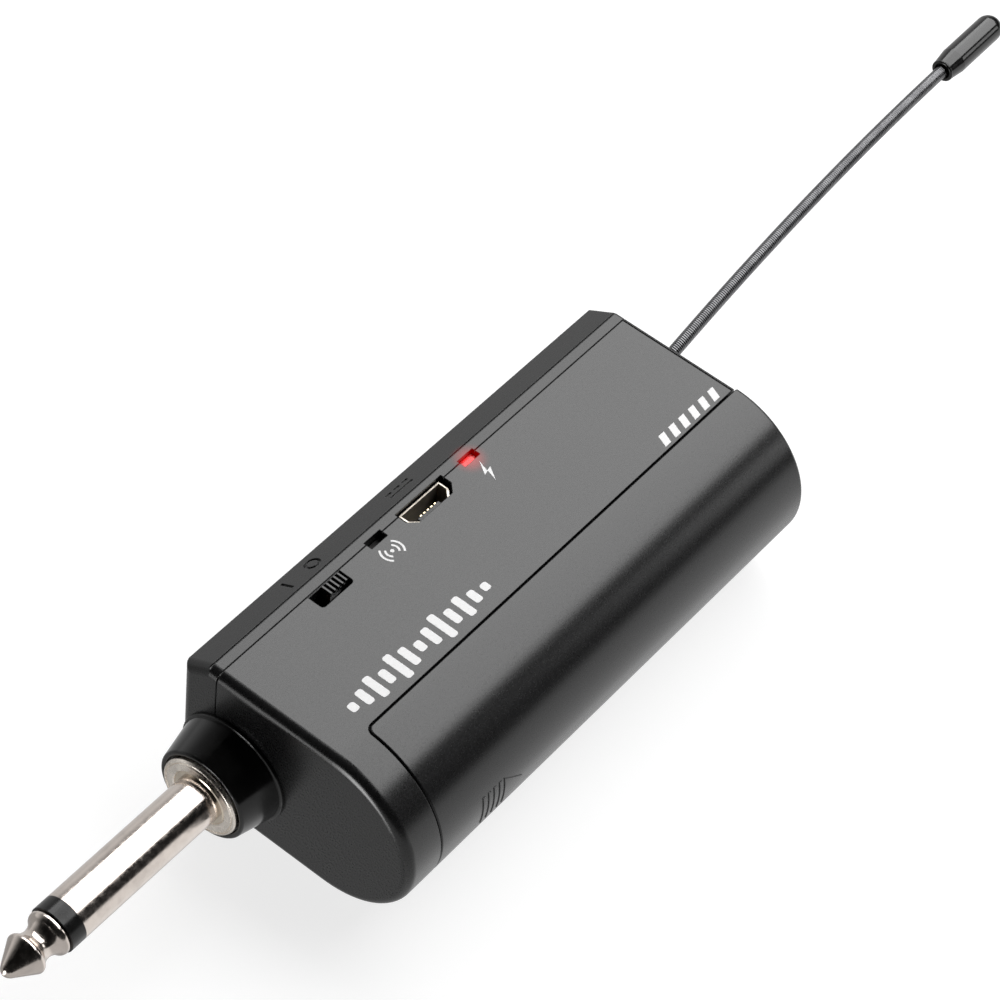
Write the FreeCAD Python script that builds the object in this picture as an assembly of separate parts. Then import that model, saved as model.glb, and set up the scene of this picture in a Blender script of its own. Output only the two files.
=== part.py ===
"""Plug-on wireless guitar unit: 1/4 inch plug, two-part housing, sliding battery door and whip antenna.

Millimetres. The origin is on the plug's axis, where the sleeve meets its flange.
+X runs along the body towards the antenna, +Y towards the flat side wall, +Z out of the control face.
"""
import FreeCAD, Part
import math
import os

V = FreeCAD.Vector
X_AXIS = V(1, 0, 0)
Z_AXIS = V(0, 0, 1)

# Plug: a standard 1/4 inch mono phone plug
sleeve_r = 3.175
tip_end_x = -32.1
ring_front_x = -24.2
sleeve_front_x = -22.0
rod_r = 1.1
bore_r = 1.9
flange_r = 5.5
flange_t = 1.0
seat_r = 3.85
tail_r = 3.0
tail_end_x = 13.2
washer_t = 0.5
nut_t = 1.5
lug_t = 0.35

# Housing
front_x = 6.2
rear_x = 82.6
top_z = 14.4
base_z = -10.2
left_y = 8.4
chamfer_y = 4.7
chamfer_z = 12.2
base_chamfer = 1.5
seam_y = 3.1
door_y = -14.0
door_x = 11.85
wall = 1.6
front_wall = 1.8
edge_r = 1.3
rear_edge_r = 0.5
line_w = 0.16
engraving_depth = 0.2
side_r = (top_z - base_z) / 2
side_z = (top_z + base_z) / 2

# Battery bay
bay_front_x = 12.0
bay_rear_x = rear_x - wall
divider_y = -4.3
divider_t = 1.2
cell_r = 9.2
cell_front_x = 14.1
cell_len = 65.0
cell_play = 0.15
nub_t = 1.2
door_gap = 0.2
door_corner_r = 1.0
door_proud = 0.3
door_edge_r = 0.25
round_gap = 0.3
rail_top = top_z - wall
rail_y = -9.6
tongue_t = 0.9

# Circuit board, standing on edge behind the seam
board_y = -0.1
board_t = 1.0
board_face = board_y + board_t
board_x0, board_x1 = 18.4, 74.4
board_z0, board_z1 = -7.8, 12.2

# Openings along the seam: start and end in X, and how far each reaches in from the seam
switch_slot = (21.8, 27.4, 0.7)
rf_slot = (32.4, 35.3, 2.3)
charge_slot = (49.75, 52.6, 2.3)
slot_far_y = 3.6
usb_x = 42.5
usb_half = 4.25
usb_low_y = 0.85
usb_high_y = 3.7
usb_sheet = 0.2
usb_low_z, usb_base_z, usb_top_z = 9.0, 10.1, 13.75
usb_tongue_y = 1.95

# Antenna, one gentle arc in the plane Y = 0
whip_r = 0.9
whip_points = (V(rear_x, 0, 1.4), V(115.0, 0, 9.8), V(150.15, 0, 13.6))
cap_r = 1.92
cap_len = 12.15
cap_mouth_r = 1.15
cap_mouth_depth = 1.0

# Fasteners
screw_x = (15.2, 77.6)
screw_rise = 7.2
boss_r = 2.2
screw_hole_r = 1.1
pilot_r = 0.85
board_screw_spots = ((22.0, -5.2), (71.0, -5.2))
post_r = 1.8
board_screw_r = 0.6


# ---------------------------------------------------------------- helpers

def box(x0, x1, y0, y1, z0, z1):
    """Box between two corners."""
    return Part.makeBox(x1 - x0, y1 - y0, z1 - z0, V(x0, y0, z0))


def rod(radius, start, end):
    """Solid cylinder between two points."""
    run = end.sub(start)
    return Part.makeCylinder(radius, run.Length, start, run)


def tube(outer, inner, start, end):
    """Hollow cylinder between two points."""
    return rod(outer, start, end).cut(rod(inner, start, end))


def joined(shapes):
    """Fuse a list of shapes into one and merge coplanar faces."""
    whole = shapes[0]
    for shape in shapes[1:]:
        whole = whole.fuse(shape)
    return whole.removeSplitter()


def less(shape, tools):
    """Cut every tool from a shape."""
    for tool in tools:
        shape = shape.cut(tool)
    return shape


def turned(points):
    """Solid of revolution about the plug's axis, from (x, radius) points."""
    outline = [V(x, 0, r) for x, r in points]
    outline.append(outline[0])
    face = Part.Face(Part.makePolygon(outline))
    return face.revolve(V(0, 0, 0), X_AXIS, 360)


def prism(points, low_z, high_z):
    """Upright prism over an (x, y) outline."""
    outline = [V(x, y, low_z) for x, y in points]
    outline.append(outline[0])
    return Part.Face(Part.makePolygon(outline)).extrude(V(0, 0, high_z - low_z))


def wire_run(points, radius):
    """Insulated lead: straight runs with a ball at each corner."""
    pieces = [rod(radius, a, b) for a, b in zip(points, points[1:])]
    pieces += [Part.makeSphere(radius, p) for p in points[1:-1]]
    return joined(pieces)


def eased(shape, radius, picks):
    """Round the edges that picks() chooses by their middle point."""
    edges = [e for e in shape.Edges if picks(e.CenterOfMass)]
    return shape.makeFillet(radius, edges)


def save(name, shape):
    """Write one node."""
    shape.exportStep("parts/%s.step" % name)


# ---------------------------------------------------------------- housing

def section(inset, x):
    """Housing outline in the YZ plane, offset inwards by inset."""
    top_turn = math.atan2(top_z - chamfer_z, left_y - chamfer_y)
    side_turn = math.pi / 2 - top_turn
    top = top_z - inset
    base = base_z + inset
    left = left_y - inset
    ease = inset * math.tan(math.pi / 8)
    p_top = V(x, chamfer_y - inset * math.tan(top_turn / 2), top)
    p_left_top = V(x, left, chamfer_z - inset * math.tan(side_turn / 2))
    p_left_low = V(x, left, base_z + base_chamfer + ease)
    p_base = V(x, left_y - base_chamfer - ease, base)
    arc_low = V(x, door_y, base)
    arc_mid = V(x, door_y - side_r + inset, side_z)
    arc_top = V(x, door_y, top)
    corners = [arc_top, p_top, p_left_top, p_left_low, p_base, arc_low]
    edges = [Part.makeLine(a, b) for a, b in zip(corners, corners[1:])]
    edges.append(Part.Arc(arc_low, arc_mid, arc_top).toShape())
    return Part.Face(Part.Wire(edges))


def block(inset, x0, x1):
    """Housing outline carried from x0 to x1."""
    return section(inset, x0).extrude(V(x1 - x0, 0, 0))


def outer_block(end_x):
    """Housing outline as a solid up to end_x, with its end edges rounded."""
    body = block(0, front_x, end_x)
    body = eased(body, edge_r, lambda p: p.x < front_x + 0.01)
    return eased(body, rear_edge_r, lambda p: p.x > end_x - 0.01)


def door_zone(x0, inner_r, y_edge, corner_r):
    """Everything outside the battery tube, from x0 to past the rear end."""
    x1 = rear_x + 1
    zone = box(x0, x1, y_edge - 20, y_edge, base_z - 1, top_z + 1)
    zone = eased(zone, corner_r, lambda p: p.x < x0 + 0.01 and p.y > y_edge - 0.01)
    return zone.cut(rod(inner_r, V(x0 - 1, door_y, side_z), V(x1 + 1, door_y, side_z)))


def mirrored(shape):
    """The same feature on the lower side of the battery bay."""
    return shape.mirror(V(0, 0, side_z), Z_AXIS)


def rails():
    """Two L-shaped rails that the door's tongues run in."""
    hook = 0.75
    lip_z = rail_top - door_gap - tongue_t - door_gap
    web = box(bay_front_x, bay_rear_x, rail_y + 0.15, rail_y + 1.0, lip_z - hook, rail_top)
    lip = box(bay_front_x, bay_rear_x, rail_y - 1.2, rail_y + 1.0, lip_z - hook, lip_z)
    rail = web.fuse(lip)
    return [rail, mirrored(rail)]


def cradle_ribs():
    """Ribs that carry the battery cell along the divider."""
    rib_t = 1.2
    ribs = []
    for x in (26.0, 46.5, 67.0):
        rib = box(x, x + rib_t, -8.2, divider_y, base_z + wall, top_z - wall)
        ribs.append(rib.cut(rod(cell_r + cell_play, V(x - 1, door_y, side_z), V(x + 3, door_y, side_z))))
    return ribs


def screw_axes():
    """Where the four housing screws stand, as (x, z)."""
    return [(x, side_z + side * screw_rise) for x in screw_x for side in (1, -1)]


def seam_openings():
    """Switch slot, two light slots and the USB opening, all open to the seam."""
    low, high = top_z - wall - 0.5, top_z + 1
    cuts = []
    for x0, x1, depth_y in (rf_slot, charge_slot):
        cuts.append(box(x0, x1, depth_y, seam_y + 0.1, low, high))
    slot = box(switch_slot[0], switch_slot[1], switch_slot[2], seam_y + 2, low, high)
    middle_z = (low + high) / 2
    slot = eased(slot, 0.5, lambda p: p.y < switch_slot[2] + 0.01 and abs(p.z - middle_z) < 0.01)
    cuts.append(slot.common(box(0, 90, 0, seam_y + 0.1, low, high)))
    cuts.append(usb_opening(low, high))
    return cuts


def usb_opening(low, high):
    """USB opening: wide at the seam, with two cut corners."""
    corner = 1.15
    return prism([(usb_x - usb_half, usb_high_y), (usb_x - usb_half, usb_low_y + corner),
                  (usb_x - usb_half + corner, usb_low_y), (usb_x + usb_half - corner, usb_low_y),
                  (usb_x + usb_half, usb_low_y + corner), (usb_x + usb_half, usb_high_y)], low, high)


def circuit_bay():
    """Space for the circuit board and the back of the plug."""
    x0 = front_x + front_wall
    bay = block(wall, x0, bay_rear_x)
    behind = bay.common(box(x0, bay_rear_x, divider_y + divider_t, left_y, base_z, top_z))
    front_room = bay.common(box(x0, bay_front_x - wall, -20, left_y, base_z, top_z))
    return behind.fuse(front_room)


def collar_hole():
    """Round hole in the front wall for the plug's collar."""
    return rod(5.6, V(front_x - 1, 0, 0), V(front_x + front_wall + 0.5, 0, 0))


def main_shell(body):
    """Larger housing half: control face, battery bay, end walls and divider."""
    battery_bay = block(wall + 0.1, bay_front_x, bay_rear_x).common(
        box(bay_front_x, bay_rear_x, door_y - side_r, divider_y, base_z, top_z))
    shell = body.common(box(0, 90, -30, seam_y, base_z - 1, top_z + 1))
    shell = less(shell, [circuit_bay(), battery_bay])
    opening_r = side_r - wall - round_gap
    shell = shell.cut(door_zone(door_x, opening_r, door_y + door_gap / 2, door_corner_r + door_gap))
    back_y = divider_y + divider_t
    bosses = [tube(boss_r, screw_hole_r, V(x, back_y, z), V(x, seam_y, z)) for x, z in screw_axes()]
    posts = [rod(post_r, V(x, back_y, z), V(x, board_y, z)) for x, z in board_screw_spots]
    shell = joined([shell] + bosses + posts + rails() + cradle_ribs())
    cuts = [rod(screw_hole_r, V(x, divider_y - 1, z), V(x, seam_y + 1, z)) for x, z in screw_axes()]
    cuts += [rod(board_screw_r, V(x, board_y - 2.2, z), V(x, board_y + 1, z)) for x, z in board_screw_spots]
    cuts += lead_holes() + tongue_slots() + seam_openings()
    cuts += [collar_hole(), antenna_hole(), rear_line()]
    return less(shell, cuts)


def rear_line():
    """Fine groove across the control face, just inside its rear edge."""
    x = rear_x - rear_edge_r - line_w
    return box(x, x + line_w, door_y, seam_y + 0.1, top_z - 0.3, top_z + 1)


def lead_holes():
    """Holes in the divider for the battery leads."""
    spots = ((13.0, 4.2), (80.0, 0.0))
    return [rod(0.8, V(x, divider_y - 0.5, z), V(x, divider_y + divider_t + 0.5, z)) for x, z in spots]


def tongue_slots():
    """Slots in the rear wall that let the door's tongues slide out."""
    low = rail_top - door_gap - tongue_t - door_gap
    slot = box(bay_rear_x - 0.1, rear_x + 1, door_y - 2.2, rail_y + 0.15, low, rail_top)
    return [slot, mirrored(slot)]


def antenna_hole():
    """Round hole in the rear wall for the antenna bush."""
    return rod(1.6, V(bay_rear_x - 1, 0, whip_points[0].z), V(rear_x + 1, 0, whip_points[0].z))


def side_shell(body):
    """Smaller housing half: edge strip, marked bevel and flat side wall."""
    shell = body.common(box(0, 90, seam_y, 20, base_z - 1, top_z + 1)).cut(circuit_bay())
    posts = [tube(boss_r, pilot_r, V(x, seam_y, z), V(x, left_y - wall, z)) for x, z in screw_axes()]
    shell = joined([shell] + posts)
    seam_line = 0.3
    cuts = [box(0, 90, seam_y - 0.1, seam_y + line_w, top_z - seam_line, top_z + 1),
            box(0, 90, seam_y - 0.1, seam_y + line_w, base_z - 1, base_z + seam_line),
            box(0, front_x + 0.35, seam_y - 0.1, seam_y + line_w, base_z, top_z),
            box(rear_x - 0.3, 90, seam_y - 0.1, seam_y + line_w, base_z, top_z),
            box(0, 90, chamfer_y - line_w, chamfer_y + line_w / 2, top_z - 0.35, top_z + 1),
            usb_opening(top_z - wall - 0.5, top_z + 1), collar_hole(), antenna_hole()]
    cuts += [box(slot[0], slot[1], seam_y - 0.1, slot_far_y, 12.0, top_z + 1) for slot in (rf_slot, charge_slot)]
    return less(shell, cuts + bevel_symbols())


def on_bevel(shape):
    """Carry a shape modelled at the origin, facing +Z, to the middle of the bevel at X = 0."""
    slope = math.degrees(math.atan2(top_z - chamfer_z, left_y - chamfer_y))
    middle = V(0, (chamfer_y + left_y) / 2, (top_z + chamfer_z) / 2)
    shape.Placement = FreeCAD.Placement(middle, FreeCAD.Rotation(X_AXIS, -slope))
    return shape


def engraved_bar(x, y, size_x, size_y):
    """Straight stroke of an engraved symbol, centred at x and y."""
    return box(x - size_x / 2, x + size_x / 2, y - size_y / 2, y + size_y / 2, -engraving_depth, 1)


def bevel_symbols():
    """Bar and ring for on and off by the switch, and the direct current sign by the USB opening."""
    stroke = 0.4
    on_x, off_x = switch_slot[0] + 0.4, switch_slot[1] - 0.7
    ring_r = 1.1
    low, high = V(off_x, 0, -engraving_depth), V(off_x, 0, 1)
    symbols = [engraved_bar(on_x, 0, stroke, 2 * ring_r), tube(ring_r, ring_r - stroke, low, high),
               engraved_bar(usb_x, -0.45, 4.0, stroke)]
    symbols += [engraved_bar(usb_x + shift, 0.45, 1.0, stroke) for shift in (-1.5, 0, 1.5)]
    return [on_bevel(symbol) for symbol in symbols]


def battery_door(body):
    """Curved sliding door with two tongues, grip ribs and an arrow."""
    inner_r = side_r - wall
    x0 = door_x + door_gap
    edge_y = door_y - door_gap / 2
    skin = body.common(door_zone(x0, inner_r, edge_y, door_corner_r))
    skin = eased(skin, door_edge_r, lambda p: p.x < x0 + 0.01 and p.y < door_y - side_r / 2)
    low = rail_top - door_gap - tongue_t
    tongue_x0, tongue_x1 = x0 + door_corner_r, rear_x - 0.2
    tongue = box(tongue_x0, tongue_x1, door_y - 1.9, rail_y, low, rail_top - door_gap)
    root = box(tongue_x0, tongue_x1, door_y - 1.9, edge_y, low, rail_top + 0.3)
    return joined([skin, tongue, root, mirrored(tongue), mirrored(root)] + grip_marks())


def grip_marks():
    """Four short ribs and an arrowhead, raised on the side of the door."""
    rise = 0.1
    ring = tube(side_r + rise, side_r - 0.3, V(15, door_y, side_z), V(30, door_y, side_z))
    half = 2.4
    marks = []
    for i in range(4):
        x = 19.5 + 1.0 * i
        marks.append(ring.common(box(x, x + 0.45, door_y - 14, door_y - 8, side_z - half, side_z + half)))
    back, point = 23.4, 26.7
    outline = [V(back, door_y - 14, side_z - half), V(point, door_y - 14, side_z),
               V(back, door_y - 14, side_z + half)]
    arrow = Part.Face(Part.makePolygon(outline + [outline[0]])).extrude(V(0, 6, 0))
    return marks + [ring.common(arrow)]


# ---------------------------------------------------------------- plug

def plug_tip():
    """Tip with its pointed nose and waist, on the centre rod."""
    nose_r = 0.7
    points = [V(tip_end_x, 0, 0), V(tip_end_x + 0.22, 0, nose_r * 0.8), V(tip_end_x + 0.6, 0, nose_r + 0.25)]
    nose = Part.Arc(*points).toShape()
    cone = Part.makeLine(points[2], V(-28.75, 0, 2.62))
    rim = Part.Arc(V(-28.75, 0, 2.62), V(-28.3, 0, 2.76), V(-27.95, 0, 2.6)).toShape()
    waist = Part.Arc(V(-27.95, 0, 2.6), V(-26.65, 0, 2.02), V(-25.3, 0, 2.72)).toShape()
    bead = Part.Arc(V(-25.3, 0, 2.72), V(-24.75, 0, 3.0), V(ring_front_x, 0, 2.85)).toShape()
    back = [V(ring_front_x, 0, 2.85), V(ring_front_x, 0, rod_r), V(17.0, 0, rod_r), V(17.0, 0, 0), points[0]]
    lines = [Part.makeLine(a, b) for a, b in zip(back, back[1:])]
    face = Part.Face(Part.Wire([nose, cone, rim, waist, bead] + lines))
    return face.revolve(V(0, 0, 0), X_AXIS, 360)


def plug_insulator():
    """Black ring behind the tip and the liner that runs through the sleeve."""
    return turned([(ring_front_x, rod_r), (ring_front_x, sleeve_r), (sleeve_front_x, sleeve_r),
                   (sleeve_front_x, bore_r), (tail_end_x, bore_r), (tail_end_x, rod_r)])


def plug_sleeve():
    """Nickel sleeve with its threaded tail."""
    return turned([(sleeve_front_x, bore_r), (sleeve_front_x, sleeve_r), (0, sleeve_r), (0, tail_r),
                   (tail_end_x, tail_r), (tail_end_x, bore_r)])


def plug_flange():
    """Washer that seats the sleeve in the collar, recessed for the brass ring, with a rolled rim."""
    return turned([(0.45, tail_r), (0.45, seat_r), (0.12, seat_r), (0, seat_r + 0.15), (0, 4.9), (0.15, 5.0),
                   (0.15, 5.12), (0, 5.2), (0.05, 5.38), (0.3, flange_r), (flange_t, flange_r),
                   (flange_t, tail_r)])


def plug_seat_ring():
    """Thin brass ring behind the sleeve's shoulder, let into the flange."""
    return turned([(0.02, tail_r), (0.02, seat_r - 0.2), (0.15, seat_r), (0.45, seat_r), (0.45, tail_r)])


def plug_collar():
    """Glossy conical collar with a fine bead at its root, carrying the plug through the front wall."""
    lip_x, lip_r = 0.5, 6.3
    root_r = 7.45
    bead_x, bead_r = front_x - 0.5, 7.75
    neck_r = 5.55
    inner_x = front_x + front_wall
    shape = turned([(flange_t, tail_r), (flange_t, flange_r + 0.12), (lip_x, flange_r + 0.12),
                    (lip_x, lip_r), (bead_x, root_r), (bead_x, bead_r), (front_x, bead_r), (front_x, neck_r),
                    (inner_x, neck_r), (inner_x, tail_r)])
    shape = eased(shape, 0.35, lambda p: p.x < lip_x + 0.01)
    bead_edge = [e for e in shape.Edges if isinstance(e.Curve, Part.Circle)
                 and abs(e.Curve.Radius - bead_r) < 0.01 and abs(e.Curve.Center.x - bead_x) < 0.01]
    return shape.makeFillet(0.22, bead_edge)


def plug_washer():
    """Flat washer inside the front wall."""
    x = front_x + front_wall
    return tube(6.4, tail_r, V(x, 0, 0), V(x + washer_t, 0, 0))


def plug_nut():
    """Hexagonal nut on the sleeve's tail."""
    x = front_x + front_wall + washer_t
    corner = 4.6
    turns = [a * math.pi / 3 for a in range(6)]
    points = [V(x, corner * math.cos(turn), corner * math.sin(turn)) for turn in turns]
    nut = Part.Face(Part.makePolygon(points + [points[0]])).extrude(V(nut_t, 0, 0))
    return nut.cut(rod(tail_r, V(x - 1, 0, 0), V(x + 3, 0, 0)))


def plug_rear_insulator():
    """Fibre washer under the tip terminal."""
    return tube(2.6, rod_r, V(tail_end_x, 0, 0), V(tail_end_x + 1.0, 0, 0))


def plug_tip_lug():
    """Solder tag riveted on the centre rod."""
    x = tail_end_x + 1.0
    tag = box(x, x + lug_t, -1.1, 1.1, 0, 4.6).fuse(rod(2.2, V(x, 0, 0), V(x + lug_t, 0, 0)))
    return tag.cut(rod(rod_r, V(x - 1, 0, 0), V(x + 1, 0, 0))).removeSplitter()


def plug_ground_lug():
    """Solder tag held under the nut."""
    x = front_x + front_wall + washer_t + nut_t
    ring = rod(4.2, V(x, 0, 0), V(x + lug_t, 0, 0))
    tag = ring.fuse(box(x, x + lug_t, -1.2, 1.2, 3.0, 7.0))
    return tag.cut(rod(tail_r, V(x - 1, 0, 0), V(x + 1, 0, 0))).removeSplitter()


# ---------------------------------------------------------------- battery

def battery_cell():
    """Rechargeable cell with its rolled shoulder."""
    end_x = cell_front_x + cell_len - nub_t
    cell = rod(cell_r, V(cell_front_x, door_y, side_z), V(end_x, door_y, side_z))
    return cell.makeFillet(0.6, cell.Edges)


def battery_positive_cap():
    """Raised positive terminal."""
    x = cell_front_x + cell_len - nub_t
    return rod(3.0, V(x, door_y, side_z), V(x + nub_t, door_y, side_z))


def battery_contact(wall_x, towards, reach):
    """Plated contact: a flat plate with a bent spring leaf that touches the cell."""
    t = 0.35
    plate = box(min(wall_x, wall_x + towards * t), max(wall_x, wall_x + towards * t),
                door_y - 4, door_y + 4, side_z - 5.0, side_z + 5.0)
    heights = (-4.4, 0.0, 3.4)
    reaches = (0, reach - t, t + 0.5)
    near = [V(wall_x + towards * r, door_y - 2, side_z + z) for z, r in zip(heights, reaches)]
    far = [V(wall_x + towards * (r + t), door_y - 2, side_z + z) for z, r in zip(heights, reaches)]
    outline = near + far[::-1]
    leaf = Part.Face(Part.makePolygon(outline + [outline[0]])).extrude(V(0, 4, 0))
    return joined([plate, leaf])


# ---------------------------------------------------------------- electronics

def circuit_board():
    """Board on edge, with holes for its two screws."""
    board = box(board_x0, board_x1, board_y, board_face, board_z0, board_z1)
    holes = [rod(0.95, V(x, board_y - 1, z), V(x, board_face + 1, z)) for x, z in board_screw_spots]
    return less(board, holes)


def on_board(x, z, size_x, size_z, height):
    """Block standing on the board's face, centred at x and z."""
    return box(x - size_x / 2, x + size_x / 2, board_face, board_face + height, z - size_z / 2, z + size_z / 2)


def usb_outline(grow):
    """Trapezoid outline of the USB shell, widest on the seam side."""
    low, high = board_face + 0.05 - grow, 3.5 + grow
    corner = 0.95
    half = 3.7 + grow
    return [(usb_x - half, high), (usb_x - half, low + corner), (usb_x - half + corner, low),
            (usb_x + half - corner, low), (usb_x + half, low + corner), (usb_x + half, high)]


def usb_shell():
    """Folded metal shell of the USB socket, open at the top."""
    shell = prism(usb_outline(0), usb_low_z, usb_top_z)
    return shell.cut(prism(usb_outline(-usb_sheet), usb_low_z + usb_sheet, usb_top_z + 1))


def usb_tongue():
    """Moulded tongue and its base inside the shell."""
    base = prism(usb_outline(-usb_sheet - 0.02), usb_low_z + usb_sheet + 0.02, usb_base_z)
    tongue = box(usb_x - 1.9, usb_x + 1.9, 1.35, usb_tongue_y, usb_base_z, 13.0)
    return joined([base, tongue])


def usb_contacts():
    """Five gold contact strips on the tongue."""
    pitch, half_w, thick = 0.65, 0.14, 0.12
    strips = []
    for i in range(5):
        x = usb_x + pitch * (i - 2)
        strips.append(box(x - half_w, x + half_w, usb_tongue_y, usb_tongue_y + thick, usb_base_z, 13.05))
    return Part.makeCompound(strips)


def switch_frame():
    """Bent metal frame of the slide switch, slotted for the knob."""
    t = 0.25
    frame = box(20.4, 28.8, board_face, board_face + 3.6, 9.0, 12.5)
    frame = frame.cut(box(20.4 + t, 28.8 - t, board_face, board_face + 3.6 - t, 8.0, 12.5 - t))
    return frame.cut(box(21.5, 27.9, 1.25, 3.35, 12.0, 13.0))


def switch_base():
    """Terminal plate that closes the switch."""
    return box(20.65, 28.55, board_face, board_face + 3.35, 8.2, 9.4)


def switch_knob():
    """Ribbed knob and the slider below it."""
    knob_x0, knob_x1 = 24.0, 27.2
    slider = box(23.4, 27.8, 1.15, 4.05, 9.7, 12.0)
    stem = box(24.2, 27.0, 1.55, 3.0, 11.8, 13.2)
    cap = box(knob_x0, knob_x1, 1.5, 3.02, 13.0, 13.95)
    ribs = [box(x, x + 0.3, 1.5, 3.02, 13.9, 14.35) for x in [knob_x0 + 0.1 + 0.675 * i for i in range(5)]]
    return joined([slider, stem, cap] + ribs)


def light(slot, bar_top):
    """Side light: package on the board and a light bar standing in its slot, below the face."""
    x = (slot[0] + slot[1]) / 2
    half = (slot[1] - slot[0]) / 2 - 0.1
    body = box(x - 1.6, x + 1.6, board_face, 3.0, 10.4, 12.5)
    bar = box(x - half, x + half, slot[2] + 0.08, slot_far_y - 0.08, 12.5, bar_top)
    return joined([body, bar])


def radio_shield():
    """Shield can over the radio."""
    can = on_board(61.5, 1.5, 14.0, 13.0, 2.4)
    return eased(can, 0.4, lambda p: p.y > board_face + 2.3)


def crystal_can():
    """Crystal for the radio."""
    can = on_board(48.5, -3.5, 5.0, 3.2, 1.1)
    return eased(can, 0.9, lambda p: abs(p.y - board_face - 0.55) < 0.01)


def chip_with_legs(x, z, size, legs):
    """Small-outline chip: moulded body and a row of legs on each side."""
    pitch = size / legs
    pieces = [on_board(x, z, size, 4.0, 1.3)]
    for i in range(legs):
        leg_x = x + pitch * (i - (legs - 1) / 2)
        pieces.append(on_board(leg_x, z, pitch * 0.4, 6.0, 0.35))
    return joined(pieces)


def small_parts(spots, size_x, size_z, height):
    """Group of identical parts soldered to the board."""
    return Part.makeCompound([on_board(x, z, size_x, size_z, height) for x, z in spots])


def can_capacitors():
    """Two electrolytic capacitors."""
    cans = []
    for x in (38.0, 43.5):
        can = rod(2.2, V(x, board_face, -4.6), V(x, board_face + 4.6, -4.6))
        cans.append(can.makeFillet(0.3, [can.Edges[0], can.Edges[2]]))
    return Part.makeCompound(cans)


def row(x0, z, step, count):
    """Evenly spaced places in a line along the board."""
    return [(x0 + step * i, z) for i in range(count)]


# ---------------------------------------------------------------- leads and fasteners

def leads():
    """Insulated leads inside the housing, as name and shape."""
    r = 0.4
    back_y = board_y - r
    lane_y = divider_y + divider_t + r + 0.05
    plus_x, minus_x = 80.0, 13.0
    return {
        "battery_lead_negative": wire_run([V(minus_x, door_y + 4.6, 4.2), V(minus_x, lane_y, 4.2),
                                           V(minus_x + 5.8, lane_y, 4.2), V(19.6, back_y, 4.2)], r),
        "battery_lead_positive": wire_run([V(plus_x, door_y + 4.6, 0), V(plus_x, lane_y, 0),
                                           V(73.6, lane_y, 0), V(73.0, back_y, 0)], r),
        "plug_signal_lead": wire_run([V(14.9, 0, 4.0), V(17.2, 2.0, 2.8), V(20.0, board_face + r, 2.2)], r),
        "plug_ground_lead": wire_run([V(10.8, 0.4, 6.2), V(13.0, 1.8, 6.2), V(17.0, 2.0, 4.0),
                                      V(20.0, board_face + r, 4.0)], r),
        "antenna_lead": wire_run([V(77.3, 0, 1.4), V(76.0, 1.4, 1.4), V(73.4, board_face + r, 1.4)], r),
    }


def housing_screws():
    """Four screws that pull the housing halves together from the battery bay."""
    screws = []
    for x, z in screw_axes():
        head = rod(1.9, V(x, divider_y - 1.3, z), V(x, divider_y, z))
        head = head.cut(box(x - 1.1, x + 1.1, divider_y - 1.4, divider_y - 0.7, z - 0.22, z + 0.22))
        head = head.cut(box(x - 0.22, x + 0.22, divider_y - 1.4, divider_y - 0.7, z - 1.1, z + 1.1))
        shank = rod(pilot_r, V(x, divider_y, z), V(x, left_y - wall - 0.4, z))
        screws.append(joined([head, shank]))
    return Part.makeCompound(screws)


def board_screws():
    """Two screws that hold the board on its posts."""
    screws = []
    for x, z in board_screw_spots:
        head = rod(1.5, V(x, board_face, z), V(x, board_face + 1.0, z))
        shank = rod(board_screw_r, V(x, board_y - 2.0, z), V(x, board_face, z))
        screws.append(joined([head, shank]))
    return Part.makeCompound(screws)


# ---------------------------------------------------------------- antenna

def whip_arc():
    """Centre line of the whip."""
    return Part.Arc(*whip_points).toShape()


def antenna_whip():
    """Whip swept along its arc, with a short straight root inside the bush."""
    arc = whip_arc()
    start = whip_points[0]
    heading = arc.tangentAt(arc.FirstParameter)
    ring = Part.Wire(Part.makeCircle(whip_r, start, heading))
    whip = Part.Wire(arc).makePipe(Part.Face(ring))
    root = rod(whip_r, start.sub(X_AXIS * 2.6), start)
    return joined([root, Part.makeSphere(whip_r, start), whip])


def antenna_cap():
    """Moulded cap on the end of the whip: rounded end, slight taper and an open mouth with a rolled lip."""
    lip_start = V(-cap_mouth_depth + 0.12, 0, cap_mouth_r)
    lip_top = V(-cap_mouth_depth, 0, cap_mouth_r + 0.17)
    lip_end = V(-cap_mouth_depth + 0.35, 0, 1.6)
    widest = V(1.8, 0, cap_r)
    end_turn = V(cap_len - cap_r, 0, cap_r)
    end_mid = V(cap_len - cap_r * (1 - math.sqrt(0.5)), 0, cap_r * math.sqrt(0.5))
    end = V(cap_len, 0, 0)
    outline = [Part.Arc(lip_start, lip_top, lip_end).toShape(), Part.makeLine(lip_end, widest),
               Part.makeLine(widest, end_turn), Part.Arc(end_turn, end_mid, end).toShape()]
    back = [end, V(0, 0, 0), V(0, 0, cap_mouth_r), lip_start]
    outline += [Part.makeLine(a, b) for a, b in zip(back, back[1:])]
    cap = Part.Face(Part.Wire(outline)).revolve(V(0, 0, 0), X_AXIS, 360)
    arc = whip_arc()
    heading = arc.tangentAt(arc.LastParameter)
    cap.Placement = FreeCAD.Placement(whip_points[2], FreeCAD.Rotation(X_AXIS, heading))
    return cap


def antenna_bush():
    """Bush in the rear wall around the whip."""
    centre_z = whip_points[0].z
    bush = rod(1.6, V(bay_rear_x, 0, centre_z), V(rear_x, 0, centre_z))
    lip = rod(2.3, V(rear_x, 0, centre_z), V(rear_x + 0.7, 0, centre_z))
    lip = eased(lip, 0.3, lambda p: p.x > rear_x + 0.69)
    return bush.fuse(lip).removeSplitter().cut(antenna_whip())


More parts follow.
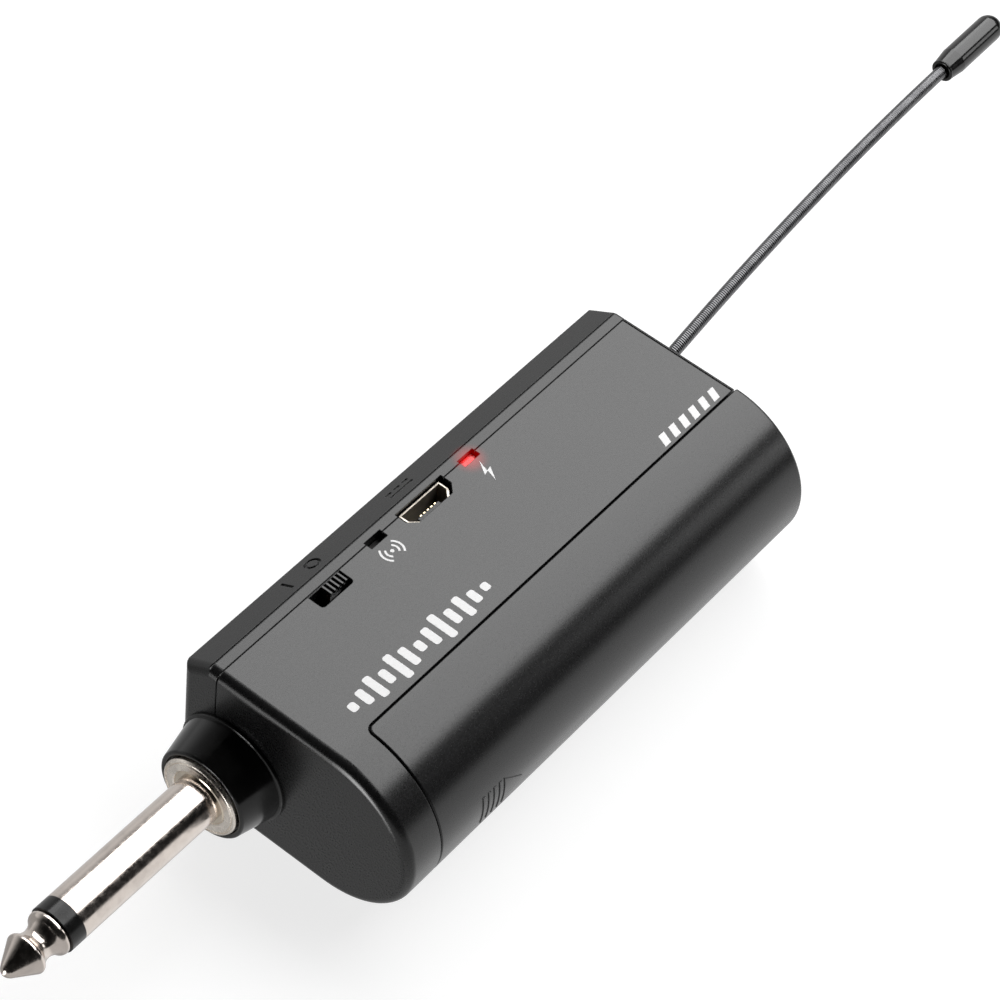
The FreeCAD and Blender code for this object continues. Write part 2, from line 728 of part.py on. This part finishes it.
def antenna_socket():
    """Brass holder that takes the whip's root and its lead."""
    centre_z = whip_points[0].z
    holder = rod(1.5, V(77.6, 0, centre_z), V(bay_rear_x, 0, centre_z))
    return holder.cut(antenna_whip())


def build():
    """Make and write every node."""
    os.makedirs("parts", exist_ok=True)
    body = outer_block(rear_x)
    nodes = {
        "main_shell": main_shell(body),
        "side_shell": side_shell(body),
        "battery_door": battery_door(outer_block(rear_x + door_proud)),
        "plug_tip": plug_tip(),
        "plug_insulator": plug_insulator(),
        "plug_sleeve": plug_sleeve(),
        "plug_flange": plug_flange(),
        "plug_seat_ring": plug_seat_ring(),
        "plug_collar": plug_collar(),
        "plug_washer": plug_washer(),
        "plug_nut": plug_nut(),
        "plug_rear_insulator": plug_rear_insulator(),
        "plug_tip_lug": plug_tip_lug(),
        "plug_ground_lug": plug_ground_lug(),
        "battery_cell": battery_cell(),
        "battery_positive_cap": battery_positive_cap(),
        "negative_contact": battery_contact(bay_front_x, 1, cell_front_x - bay_front_x),
        "positive_contact": battery_contact(bay_rear_x, -1, bay_rear_x - cell_front_x - cell_len),
        "circuit_board": circuit_board(),
        "usb_shell": usb_shell(),
        "usb_tongue": usb_tongue(),
        "usb_contacts": usb_contacts(),
        "switch_frame": switch_frame(),
        "switch_base": switch_base(),
        "switch_knob": switch_knob(),
        "rf_light": light(rf_slot, 13.0),
        "charge_light": light(charge_slot, 13.7),
        "radio_shield": radio_shield(),
        "crystal_can": crystal_can(),
        "audio_chip": chip_with_legs(32.0, 2.0, 6.5, 8),
        "charger_chip": chip_with_legs(47.5, 3.4, 5.0, 4),
        "ceramic_capacitors": small_parts(row(26.0, 6.0, 2.4, 4) + row(37.6, 5.4, 2.4, 2), 0.8, 1.6, 0.8),
        "chip_resistors": small_parts(row(25.5, -2.0, 2.0, 5) + row(53.0, 9.0, 2.0, 6), 0.8, 1.6, 0.45),
        "can_capacitors": can_capacitors(),
        "charge_coil": on_board(40.0, 1.0, 4.0, 4.0, 2.0),
        "housing_screws": housing_screws(),
        "board_screws": board_screws(),
        "antenna_whip": antenna_whip(),
        "antenna_cap": antenna_cap(),
        "antenna_bush": antenna_bush(),
        "antenna_socket": antenna_socket(),
    }
    nodes.update(leads())
    for name, shape in nodes.items():
        save(name, shape)


build()
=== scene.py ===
"""Looks for the plug-on wireless guitar unit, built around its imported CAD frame. Metres throughout."""

import math

import bmesh
import bpy
from mathutils import Matrix, Vector


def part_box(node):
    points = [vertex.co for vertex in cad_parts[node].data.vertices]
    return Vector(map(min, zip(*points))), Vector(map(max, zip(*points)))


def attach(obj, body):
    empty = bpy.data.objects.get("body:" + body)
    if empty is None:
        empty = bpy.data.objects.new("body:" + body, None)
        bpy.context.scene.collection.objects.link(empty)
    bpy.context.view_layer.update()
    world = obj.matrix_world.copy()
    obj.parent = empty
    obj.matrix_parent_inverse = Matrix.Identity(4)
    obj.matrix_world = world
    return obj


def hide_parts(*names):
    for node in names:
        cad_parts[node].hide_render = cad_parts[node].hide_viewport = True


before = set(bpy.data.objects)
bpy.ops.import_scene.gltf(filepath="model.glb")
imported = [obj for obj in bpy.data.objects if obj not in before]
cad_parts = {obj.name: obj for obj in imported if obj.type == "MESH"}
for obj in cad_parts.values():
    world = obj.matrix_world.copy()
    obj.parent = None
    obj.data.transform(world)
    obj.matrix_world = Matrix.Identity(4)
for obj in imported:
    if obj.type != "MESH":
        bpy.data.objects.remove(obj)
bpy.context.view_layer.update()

MM = 0.001
HOUSING = "housing"
LAMP_RED = (1.0, 0.0, 0.0)

# Places taken from the frame: control face, seam, underside, axis of the round side, and the two ends
panel_low, panel_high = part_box("main_shell")
door_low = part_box("battery_door")[0]
PANEL_Z = panel_high[2]
SEAM_Y = panel_high[1]
BASE_Z = panel_low[2]
DOOR_Y = door_low[1] + (PANEL_Z - BASE_Z) / 2
REAR_X = panel_high[0]
FRONT_X = panel_low[0]


# ---------------------------------------------------------------- material helpers

def set_range(node, low, high, out_low, out_high):
    """Fill in the four limits of a Map Range node."""
    for socket, number in (("From Min", low), ("From Max", high), ("To Min", out_low), ("To Max", out_high)):
        node.inputs[socket].default_value = number


class Paint:
    """A node material with a Principled shader, and short calls that add nodes to it."""

    def __init__(self, name, colour, roughness, metallic=0.0, specular=0.5):
        self.material = bpy.data.materials.new(name)
        self.material.use_nodes = True
        self.nodes = self.material.node_tree.nodes
        self.links = self.material.node_tree.links
        self.shader = self.nodes["Principled BSDF"]
        self.colour = tuple(colour) + (1.0,)
        self.shader.inputs["Base Color"].default_value = self.colour
        self.shader.inputs["Roughness"].default_value = roughness
        self.shader.inputs["Metallic"].default_value = metallic
        self.shader.inputs["Specular IOR Level"].default_value = specular
        self.roughness = roughness
        self.normal = None

    def place(self, stretch=(1, 1, 1)):
        """Object coordinates in millimetres, stretched along the axes."""
        coords = self.nodes.new("ShaderNodeTexCoord")
        scale = self.nodes.new("ShaderNodeMapping")
        scale.inputs["Scale"].default_value = [s / MM for s in stretch]
        self.links.new(coords.outputs["Object"], scale.inputs["Vector"])
        return scale.outputs["Vector"]

    def noise(self, per_mm, detail=3.0, stretch=(1, 1, 1)):
        """Noise value with that many features per millimetre."""
        noise = self.nodes.new("ShaderNodeTexNoise")
        noise.inputs["Scale"].default_value = per_mm
        noise.inputs["Detail"].default_value = detail
        self.links.new(self.place(stretch), noise.inputs["Vector"])
        return noise.outputs["Fac"]

    def ramp(self, value, low, high, out_low, out_high):
        """Value mapped smoothly from low..high to out_low..out_high."""
        node = self.nodes.new("ShaderNodeMapRange")
        node.interpolation_type = "SMOOTHSTEP"
        set_range(node, low, high, out_low, out_high)
        self.links.new(value, node.inputs["Value"])
        return node.outputs["Result"]

    def rough(self, value, spread):
        """Roughness that wanders by spread either side of its mean."""
        result = self.ramp(value, 0.3, 0.7, self.roughness - spread, self.roughness + spread)
        self.links.new(result, self.shader.inputs["Roughness"])

    def tint(self, value, other, low=0.35, high=0.65):
        """Colour that wanders from the base colour to another."""
        mix = self.nodes.new("ShaderNodeMix")
        mix.data_type = "RGBA"
        mix.inputs["A"].default_value = self.colour
        mix.inputs["B"].default_value = tuple(other) + (1.0,)
        self.links.new(self.ramp(value, low, high, 0.0, 1.0), mix.inputs["Factor"])
        self.links.new(mix.outputs["Result"], self.shader.inputs["Base Color"])

    def bump(self, value, depth_mm, strength=1.0):
        """Relief of that depth, laid over any relief added before."""
        node = self.nodes.new("ShaderNodeBump")
        node.inputs["Distance"].default_value = depth_mm * MM
        node.inputs["Strength"].default_value = strength
        self.links.new(value, node.inputs["Height"])
        if self.normal is not None:
            self.links.new(self.normal, node.inputs["Normal"])
        self.normal = node.outputs["Normal"]
        self.links.new(self.normal, self.shader.inputs["Normal"])

    def soft_edges(self, radius_mm):
        """Catch light on sharp edges as if they were rounded by that radius."""
        node = self.nodes.new("ShaderNodeBevel")
        node.samples = 6
        node.inputs["Radius"].default_value = radius_mm * MM
        self.normal = node.outputs["Normal"]

    def glow(self, centre, radius, colour, strength):
        """Emission fading out from centre: a lamp's own light, or a painted red glow on a surface round a
        lamp.
        """
        coords = self.nodes.new("ShaderNodeTexCoord")
        gap = self.nodes.new("ShaderNodeVectorMath")
        gap.operation = "DISTANCE"
        gap.inputs[1].default_value = centre
        self.links.new(coords.outputs["Object"], gap.inputs[0])
        fade = self.nodes.new("ShaderNodeMapRange")
        fade.interpolation_type = "SMOOTHERSTEP"
        set_range(fade, 0.0, radius, strength, 0.0)
        self.links.new(gap.outputs["Value"], fade.inputs["Value"])
        self.shader.inputs["Emission Color"].default_value = tuple(colour) + (1.0,)
        self.links.new(fade.outputs["Result"], self.shader.inputs["Emission Strength"])


def moulded_plastic(name, grey, roughness, grain_mm, per_mm, lamp=None, specular=0.5):
    """Satin black ABS with a fine spark-eroded grain, and a painted red glow round the charge light where it
    has one.
    """
    paint = Paint(name, (grey, grey, grey * 1.04), roughness, specular=specular)
    paint.soft_edges(0.12)
    paint.tint(paint.noise(1.5, 4.0), (grey * 1.3, grey * 1.3, grey * 1.35))
    paint.rough(paint.noise(3.0, 5.0), 0.02)
    paint.bump(paint.noise(per_mm, 3.0), grain_mm)
    if lamp is not None:
        # Painted glow: the housing plastic itself emits red round the charge light
        paint.glow(lamp, 2.9 * MM, LAMP_RED, 0.38)
    return paint.material


def gloss_plastic(name, grey, roughness, specular=0.5):
    """Polished black plastic with a faint orange peel."""
    paint = Paint(name, (grey, grey, grey), roughness, specular=specular)
    paint.soft_edges(0.1)
    paint.rough(paint.noise(0.7, 4.0), 0.03)
    paint.tint(paint.noise(0.3), (grey * 1.5, grey * 1.5, grey * 1.5))
    paint.bump(paint.noise(1.2, 2.0), 0.004)
    return paint.material


def plated_metal(name, colour, roughness, rings=0.0):
    """Plated turned metal: fine tool rings round the plug's axis and slight staining."""
    paint = Paint(name, colour, roughness, metallic=1.0)
    stain = [c * 0.86 for c in colour]
    paint.tint(paint.noise(0.35, 4.0), stain, 0.45, 0.75)
    paint.rough(paint.noise(1.5, 4.0), roughness * 0.3)
    if rings:
        paint.bump(paint.noise(9.0, 2.0, (1.0, 0.02, 0.02)), rings)
    paint.bump(paint.noise(2.2, 3.0), 0.0002)
    return paint.material


def plain_metal(name, colour, roughness, stretch=(1, 1, 1)):
    """Brushed or drawn sheet metal."""
    paint = Paint(name, colour, roughness, metallic=1.0)
    paint.tint(paint.noise(0.5, 4.0), [c * 0.8 for c in colour])
    paint.rough(paint.noise(2.0, 4.0, stretch), 0.06)
    paint.bump(paint.noise(4.0, 3.0, stretch), 0.004)
    return paint.material


def matt_part(name, colour, roughness=0.55):
    """Small moulded or ceramic part with mottled colour."""
    paint = Paint(name, colour, roughness)
    paint.tint(paint.noise(1.2, 4.0), [c * 0.75 for c in colour])
    paint.rough(paint.noise(2.5), 0.06)
    paint.bump(paint.noise(8.0, 3.0), 0.006)
    return paint.material


def board_material():
    """Green solder mask with darker copper-free lanes."""
    paint = Paint("board_mask", (0.015, 0.16, 0.07), 0.3)
    lanes = paint.nodes.new("ShaderNodeTexBrick")
    lanes.inputs["Scale"].default_value = 0.35
    lanes.inputs["Mortar Size"].default_value = 0.06
    paint.links.new(paint.place(), lanes.inputs["Vector"])
    paint.tint(lanes.outputs["Fac"], (0.008, 0.09, 0.04))
    paint.bump(lanes.outputs["Fac"], 0.03)
    return paint.material


def ink():
    """White pad-printed ink, a little broken at grain level."""
    paint = Paint("white_ink", (0.86, 0.86, 0.86), 0.5)
    paint.tint(paint.noise(5.0, 4.0), (0.74, 0.74, 0.74), 0.5, 0.8)
    paint.bump(paint.noise(6.0, 3.0), 0.006)
    return paint.material


def lamp_material(centre):
    """Lit red light bar, hottest in the middle."""
    paint = Paint("red_light", (0.30, 0.0, 0.0), 0.25)
    paint.rough(paint.noise(2.0), 0.05)
    paint.glow(centre, 1.6 * MM, LAMP_RED, 1.25)
    return paint.material


def floor_material():
    """Plain white sweep with barely visible mottling; its own glow keeps it white under soft light."""
    grey, mottled, glow = 0.31, 0.30, 0.79
    paint = Paint("floor_white", (grey, grey, grey), 0.9, specular=0.0)
    paint.tint(paint.noise(0.01, 2.0), (mottled, mottled, mottled))
    paint.shader.inputs["Emission Color"].default_value = (1, 1, 1, 1)
    paint.shader.inputs["Emission Strength"].default_value = glow
    return paint.material


# ---------------------------------------------------------------- dressing the CAD nodes

def middle(node):
    """Centre of a CAD node's box."""
    low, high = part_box(node)
    return Vector([(a + b) / 2 for a, b in zip(low, high)])


def lamp_centre():
    """Top of the lit light bar."""
    spot = middle("charge_light")
    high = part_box("charge_light")[1]
    return Vector((spot.x, SEAM_Y - 0.35 * MM, high[2]))


def dress(names, material):
    """Put one material on CAD nodes and shade their curved faces smoothly."""
    for name in names:
        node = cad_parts[name]
        node.data.materials.clear()
        node.data.materials.append(material)
        for face in node.data.polygons:
            face.use_smooth = True
            face.material_index = 0
        node.data.set_sharp_from_angle(angle=math.radians(25))


def dress_frame():
    """Give every CAD node its finish."""
    lamp = lamp_centre()
    # Shell and side shell carry the painted red glow round the charge light
    dress(["main_shell"], moulded_plastic("shell_satin", 0.006, 0.27, 0.0035, 8.0, lamp))
    dress(["side_shell"], moulded_plastic("side_satin", 0.006, 0.27, 0.006, 7.0, lamp, 0.45))
    dress(["battery_door"], moulded_plastic("door_satin", 0.006, 0.26, 0.0035, 8.0))
    dress(["switch_knob"], moulded_plastic("knob_black", 0.005, 0.22, 0.004, 8.0))
    dress(["plug_collar"], gloss_plastic("collar_gloss", 0.003, 0.16, 0.45))
    dress(["antenna_cap"], gloss_plastic("cap_gloss", 0.005, 0.14))
    dress(["antenna_bush"], gloss_plastic("bush_black", 0.006, 0.30))
    dress(["plug_insulator"], gloss_plastic("insulator_black", 0.006, 0.22, 0.3))
    dress(["plug_tip", "plug_sleeve"], plated_metal("nickel", (0.66, 0.595, 0.545), 0.19, 0.0020))
    dress(["plug_flange"], plated_metal("nickel_satin", (0.93, 0.86, 0.78), 0.30, 0.003))
    dress(["plug_seat_ring", "antenna_socket"], plated_metal("brass", (0.76, 0.67, 0.55), 0.16, 0.003))
    dress(["usb_contacts"], plated_metal("gold", (1.0, 0.85, 0.55), 0.15))
    dress(["usb_shell"], plain_metal("tinned_shell", (0.60, 0.55, 0.48), 0.50))
    dress(["plug_tip_lug", "plug_ground_lug", "negative_contact", "positive_contact"],
          plain_metal("tinned_sheet", (0.75, 0.74, 0.71), 0.28))
    dress(["plug_washer", "plug_nut", "housing_screws", "board_screws", "switch_frame", "radio_shield",
           "crystal_can", "battery_positive_cap", "can_capacitors"],
          plain_metal("zinc_steel", (0.62, 0.62, 0.63), 0.30, (0.2, 1, 1)))
    dress(["usb_tongue", "audio_chip", "charger_chip", "charge_coil"],
          matt_part("moulded_black", (0.012, 0.012, 0.012), 0.4))
    dress(["rf_light"], matt_part("unlit_lens", (0.004, 0.002, 0.002), 0.6))
    dress(["plug_rear_insulator", "switch_base"], matt_part("fibre_brown", (0.20, 0.07, 0.03)))
    dress(["battery_cell"], cell_material())
    dress(["circuit_board"], board_material())
    dress(["ceramic_capacitors", "chip_resistors"], matt_part("ceramic_tan", (0.35, 0.25, 0.16)))
    dress(["battery_lead_positive", "plug_signal_lead"], matt_part("lead_red", (0.5, 0.01, 0.01), 0.4))
    dress(["battery_lead_negative", "plug_ground_lead", "antenna_lead"],
          matt_part("lead_black", (0.012, 0.012, 0.012), 0.4))
    dress(["charge_light"], lamp_material(lamp))


def cell_material():
    """Blue shrink sleeve with a soft sheen."""
    paint = Paint("cell_sleeve", (0.02, 0.12, 0.36), 0.32)
    paint.tint(paint.noise(0.2, 3.0), (0.015, 0.09, 0.28))
    paint.rough(paint.noise(1.0), 0.05)
    paint.bump(paint.noise(0.8, 2.0), 0.02)
    return paint.material


# ---------------------------------------------------------------- mesh helpers

def finished(name, mesh, material):
    """Object from a mesh, riding on the housing, with its finish."""
    piece = bpy.data.objects.new(name, mesh)
    bpy.context.scene.collection.objects.link(piece)
    mesh.materials.append(material)
    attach(piece, HOUSING)
    return piece


def raised(outlines, height, turn=Matrix.Identity(4)):
    """Mesh of flat raised shapes over (x, y) outlines in millimetres, with eased top edges."""
    work = bmesh.new()
    ease = 0.012
    for outline in outlines:
        base = [work.verts.new(turn @ Vector((x * MM, y * MM, 0))) for x, y in outline]
        face = work.faces.new(base)
        if face.normal.dot(turn.to_3x3() @ Vector((0, 0, 1))) < 0:
            face.normal_flip()
        grown = bmesh.ops.extrude_face_region(work, geom=[face])
        top = [v for v in grown["geom"] if isinstance(v, bmesh.types.BMVert)]
        up = turn.to_3x3() @ Vector((0, 0, height * MM))
        bmesh.ops.translate(work, verts=top, vec=up)
        rim = [e for e in work.edges if e.verts[0] in top and e.verts[1] in top]
        bmesh.ops.bevel(work, geom=rim, offset=ease * MM, segments=1, affect="EDGES")
    bmesh.ops.recalc_face_normals(work, faces=work.faces)
    mesh = bpy.data.meshes.new("marks")
    work.to_mesh(mesh)
    work.free()
    return mesh


def bar_outline(x, y, width, height, corner):
    """Upright bar with rounded corners, as (x, y) points."""
    points = []
    for quarter in range(4):
        cx = x + (width / 2 - corner) * (1 if quarter in (0, 3) else -1)
        cy = y + (height / 2 - corner) * (1 if quarter in (0, 1) else -1)
        for step in range(5):
            angle = math.pi / 2 * (quarter + step / 4)
            points.append((cx + corner * math.cos(angle), cy + corner * math.sin(angle)))
    return points


def arc_outline(x, y, radius, width, middle_angle, half_angle):
    """Curved bar about a centre, as (x, y) points."""
    steps = 12
    outer, inner = [], []
    for step in range(steps + 1):
        angle = middle_angle - half_angle + 2 * half_angle * step / steps
        outer.append((x + (radius + width / 2) * math.cos(angle), y + (radius + width / 2) * math.sin(angle)))
        inner.append((x + (radius - width / 2) * math.cos(angle), y + (radius - width / 2) * math.sin(angle)))
    return outer + inner[::-1]


# ---------------------------------------------------------------- printed marks

INK_HEIGHT = 0.015


def print_marks(name, outlines, material):
    """White print on the control face."""
    face = Matrix.Translation((0, 0, PANEL_Z))
    return finished(name, raised(outlines, INK_HEIGHT, face), material)


def sound_bars():
    """Plain row of bars like a sound level, beside the door."""
    start = FRONT_X / MM + 7.2
    centre_y = DOOR_Y / MM + 3.1
    heights = (1.3, 2.4, 3.6, 2.2, 4.2, 3.0, 1.6, 2.8, 4.2, 2.4, 3.4, 2.0, 1.2)
    step, width, corner = 1.98, 1.15, 0.35
    return [bar_outline(start + step * i, centre_y, width, h, corner) for i, h in enumerate(heights)]


def slanted_dashes():
    """Short slanted dashes near the rear end of the control face."""
    start = REAR_X / MM - 13.6
    low, high = DOOR_Y / MM + 0.6, DOOR_Y / MM + 2.3
    width, lean, step = 1.1, 0.7, 2.0
    shapes = []
    for i in range(6):
        x = start + step * i
        shapes.append([(x, low), (x + width, low), (x + width + lean, high), (x + lean, high)])
    return shapes


def radio_icon():
    """Dot with two waves on each side."""
    spot = middle("rf_light") / MM
    x, y = spot.x, SEAM_Y / MM - 2.7
    shapes = [arc_outline(x, y, 0.14, 0.26, 0, math.pi * 0.999)]
    for side in (0, math.pi):
        for radius in (0.85, 1.5):
            shapes.append(arc_outline(x, y, radius, 0.28, side, math.radians(48)))
    return shapes


def bolt_icon():
    """Charging bolt beside the red light."""
    spot = middle("charge_light") / MM
    x, y = spot.x, SEAM_Y / MM - 3.1
    points = [(0.50, 1.70), (-0.75, -0.20), (0.02, -0.05), (-0.50, -1.70), (0.75, 0.20), (-0.02, 0.05)]
    return [[(x + dx, y + dy) for dx, dy in points]]


def add_prints():
    """All white prints."""
    white = ink()
    print_marks("print_sound_bars", sound_bars(), white)
    print_marks("print_dashes", slanted_dashes(), white)
    print_marks("print_radio", radio_icon(), white)
    print_marks("print_bolt", bolt_icon(), white)


# ---------------------------------------------------------------- antenna whip

# Start, middle and end of the CAD whip's arc, which the cap and bush are set on
WHIP_POINTS = (Vector((0.0826, 0, 0.0014)), Vector((0.115, 0, 0.0098)), Vector((0.15015, 0, 0.0136)))
WHIP_R = 0.88 * MM
COIL_PITCH = 0.30 * MM
COIL_HEIGHT = 0.035 * MM
RINGS_PER_TURN = 7
AROUND = 30


def circle_through(a, b, c):
    """Centre and radius of the circle through three points in the plane Y = 0."""
    d = 2 * (a.x * (b.z - c.z) + b.x * (c.z - a.z) + c.x * (a.z - b.z))
    sa, sb, sc = (p.x * p.x + p.z * p.z for p in (a, b, c))
    cx = (sa * (b.z - c.z) + sb * (c.z - a.z) + sc * (a.z - b.z)) / d
    cz = (sa * (c.x - b.x) + sb * (a.x - c.x) + sc * (b.x - a.x)) / d
    centre = Vector((cx, 0, cz))
    return centre, (a - centre).length


def whip_mesh():
    """Close-wound whip: a tube along the arc with one shallow helical rib."""
    centre, radius = circle_through(*WHIP_POINTS)
    start, end = WHIP_POINTS[0] - centre, WHIP_POINTS[2] - centre
    angle0 = math.atan2(start.z, start.x)
    angle1 = math.atan2(end.z, end.x)
    length = abs(angle1 - angle0) * radius
    rings = int(length / COIL_PITCH * RINGS_PER_TURN)
    work = bmesh.new()
    side = Vector((0, 1, 0))
    last = None
    for i in range(rings + 1):
        angle = angle0 + (angle1 - angle0) * i / rings
        out = Vector((math.cos(angle), 0, math.sin(angle)))
        run = length * i / rings
        ring = []
        for j in range(AROUND):
            turn = 2 * math.pi * j / AROUND
            r = WHIP_R - COIL_HEIGHT * abs(math.sin(math.pi * run / COIL_PITCH - turn / 2)) ** 3
            spot = centre + out * (radius + r * math.cos(turn)) + side * (r * math.sin(turn))
            ring.append(work.verts.new(spot))
        if last is not None:
            for j in range(AROUND):
                k = (j + 1) % AROUND
                work.faces.new((last[j], last[k], ring[k], ring[j]))
        else:
            work.faces.new(ring)
        last = ring
    work.faces.new(last)
    bmesh.ops.recalc_face_normals(work, faces=work.faces)
    mesh = bpy.data.meshes.new("whip")
    work.to_mesh(mesh)
    work.free()
    for face in mesh.polygons:
        face.use_smooth = len(face.vertices) == 4
    return mesh


def add_whip():
    """Coil-wound whip in place of the plain CAD rod."""
    paint = Paint("whip_coil", (0.16, 0.16, 0.165), 0.26, metallic=1.0)
    paint.tint(paint.noise(0.6, 3.0), (0.12, 0.12, 0.125))
    paint.rough(paint.noise(2.0), 0.05)
    whip = finished("antenna_coil", whip_mesh(), paint.material)
    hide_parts("antenna_whip")


# ---------------------------------------------------------------- stage, light and camera

def add_floor():
    """White floor under the unit."""
    size = 3.0
    work = bmesh.new()
    corners = [(-size, -size), (size, -size), (size, size), (-size, size)]
    work.faces.new([work.verts.new((x, y, BASE_Z)) for x, y in corners])
    mesh = bpy.data.meshes.new("floor")
    work.to_mesh(mesh)
    work.free()
    floor = bpy.data.objects.new("floor", mesh)
    mesh.materials.append(floor_material())
    bpy.context.scene.collection.objects.link(floor)
    floor.visible_glossy = False  # reflections of the table come from the surroundings


def add_softbox(name, place, aim, size, radiance):
    """Rectangular light at a place, facing an aim point."""
    light = bpy.data.lights.new(name, "AREA")
    light.shape = "RECTANGLE"
    light.size, light.size_y = size
    light.energy = radiance * math.pi * size[0] * size[1]
    holder = bpy.data.objects.new(name, light)
    holder.location = place
    holder.rotation_euler = (Vector(place) - Vector(aim)).to_track_quat("Z", "Y").to_euler()
    bpy.context.scene.collection.objects.link(holder)


def add_surroundings():
    """What the unit reflects: white table, dark room, a pale wall on the left, a patch before the plug."""
    world = bpy.data.worlds.new("studio")
    bpy.context.scene.world = world
    world.use_nodes = True
    nodes, links = world.node_tree.nodes, world.node_tree.links
    coords = nodes.new("ShaderNodeTexCoord")
    parts = nodes.new("ShaderNodeSeparateXYZ")
    links.new(coords.outputs["Generated"], parts.inputs["Vector"])

    def along(direction):
        """How far the view runs along a direction, -1 to 1."""
        node = nodes.new("ShaderNodeVectorMath")
        node.operation = "DOT_PRODUCT"
        node.inputs[1].default_value = direction
        links.new(coords.outputs["Generated"], node.inputs[0])
        return node.outputs["Value"]

    def fade(value, low, high, out_low, out_high):
        """Smooth step between two levels."""
        node = nodes.new("ShaderNodeMapRange")
        node.interpolation_type = "SMOOTHSTEP"
        set_range(node, low, high, out_low, out_high)
        links.new(value, node.inputs["Value"])
        return node.outputs["Result"]

    def combined(operation, a, b):
        """Sum or product of two values."""
        node = nodes.new("ShaderNodeMath")
        node.operation = operation
        links.new(a, node.inputs[0])
        links.new(b, node.inputs[1])
        return node.outputs["Value"]

    height = parts.outputs["Z"]
    across = along((0, 1, 0))
    lengthwise = along((1, 0, 0))

    # White table: brightest beyond the antenna, shaded under the unit
    table_near, table_far, table_shaded = 0.63, 1.1, 0.66
    under = fade(across, -0.3, 0.0, 1.0, table_shaded)
    table = combined("MULTIPLY", fade(lengthwise, 0.1, 0.5, table_near, table_far), under)

    # Pale wall on the left, fading upwards into the dark room
    room_level, wall_level, wall_top = 0.02, 0.76, 0.3
    far_left = fade(along((0.3, 0.95, 0)), 0.3, 0.85, room_level, wall_level)
    wall = combined("MULTIPLY", far_left, fade(height, 0.1, 0.7, 1.0, wall_top))

    # Table and wall meet at the horizon
    below = combined("MULTIPLY", table, fade(height, -0.08, 0.04, 1.0, 0.0))
    above = combined("MULTIPLY", wall, fade(height, -0.08, 0.04, 0.0, 1.0))

    # Low bright patch in front of the plug, bounded on each side
    patch_level = 11.0
    patch = combined("MULTIPLY", fade(across, 0.16, 0.40, 1.0, 0.0), fade(across, -0.08, 0.04, 0.0, 1.0))
    patch = combined("MULTIPLY", patch, fade(height, -0.62, -0.40, 0.0, patch_level))
    patch = combined("MULTIPLY", patch, fade(height, 0.0, 0.2, 1.0, 0.0))
    patch = combined("MULTIPLY", patch, fade(lengthwise, -0.7, -0.5, 1.0, 0.0))

    room = combined("ADD", combined("ADD", below, above), patch)
    links.new(room, nodes["Background"].inputs["Strength"])
    nodes["Background"].inputs["Color"].default_value = (1, 1, 1, 1)


def add_camera():
    """Camera at the product shot's angle, aimed at the middle of the control face."""
    azimuth, elevation, roll = math.radians(-57.1), math.radians(49.71), math.radians(7.82)
    distance = 0.4192
    lens_mm = 126.68
    aim = Vector((FRONT_X + 0.0424, SEAM_Y - 0.0071, PANEL_Z))
    away = Vector((math.sin(azimuth) * math.cos(elevation), -math.cos(azimuth) * math.cos(elevation),
                   math.sin(elevation)))
    camera = bpy.data.cameras.new("camera")
    camera.lens = lens_mm
    camera.sensor_width = 36
    camera.clip_start = 0.01
    holder = bpy.data.objects.new("camera", camera)
    upright = away.to_track_quat("Z", "Y").to_matrix().to_4x4()
    holder.matrix_world = Matrix.Translation(aim + away * distance) @ upright @ Matrix.Rotation(roll, 4, "Z")
    bpy.context.scene.collection.objects.link(holder)
    bpy.context.scene.camera = holder


def add_studio():
    """Floor, surroundings, a large softbox overhead, a small card beside the door, and the camera."""
    add_floor()
    add_surroundings()
    add_softbox("key_softbox", place=(0.73, 0.12, 0.80), aim=(0.73, 0.12, 0.0), size=(0.90, 1.60),
                radiance=4.7)
    add_softbox("side_card", place=(0.70, -0.66, 0.30), aim=(0.06, -0.01, 0.0), size=(0.22, 0.26),
                radiance=2.6)
    add_camera()
    bpy.context.scene.view_settings.view_transform = "Standard"


dress_frame()
add_prints()
add_whip()
add_studio()
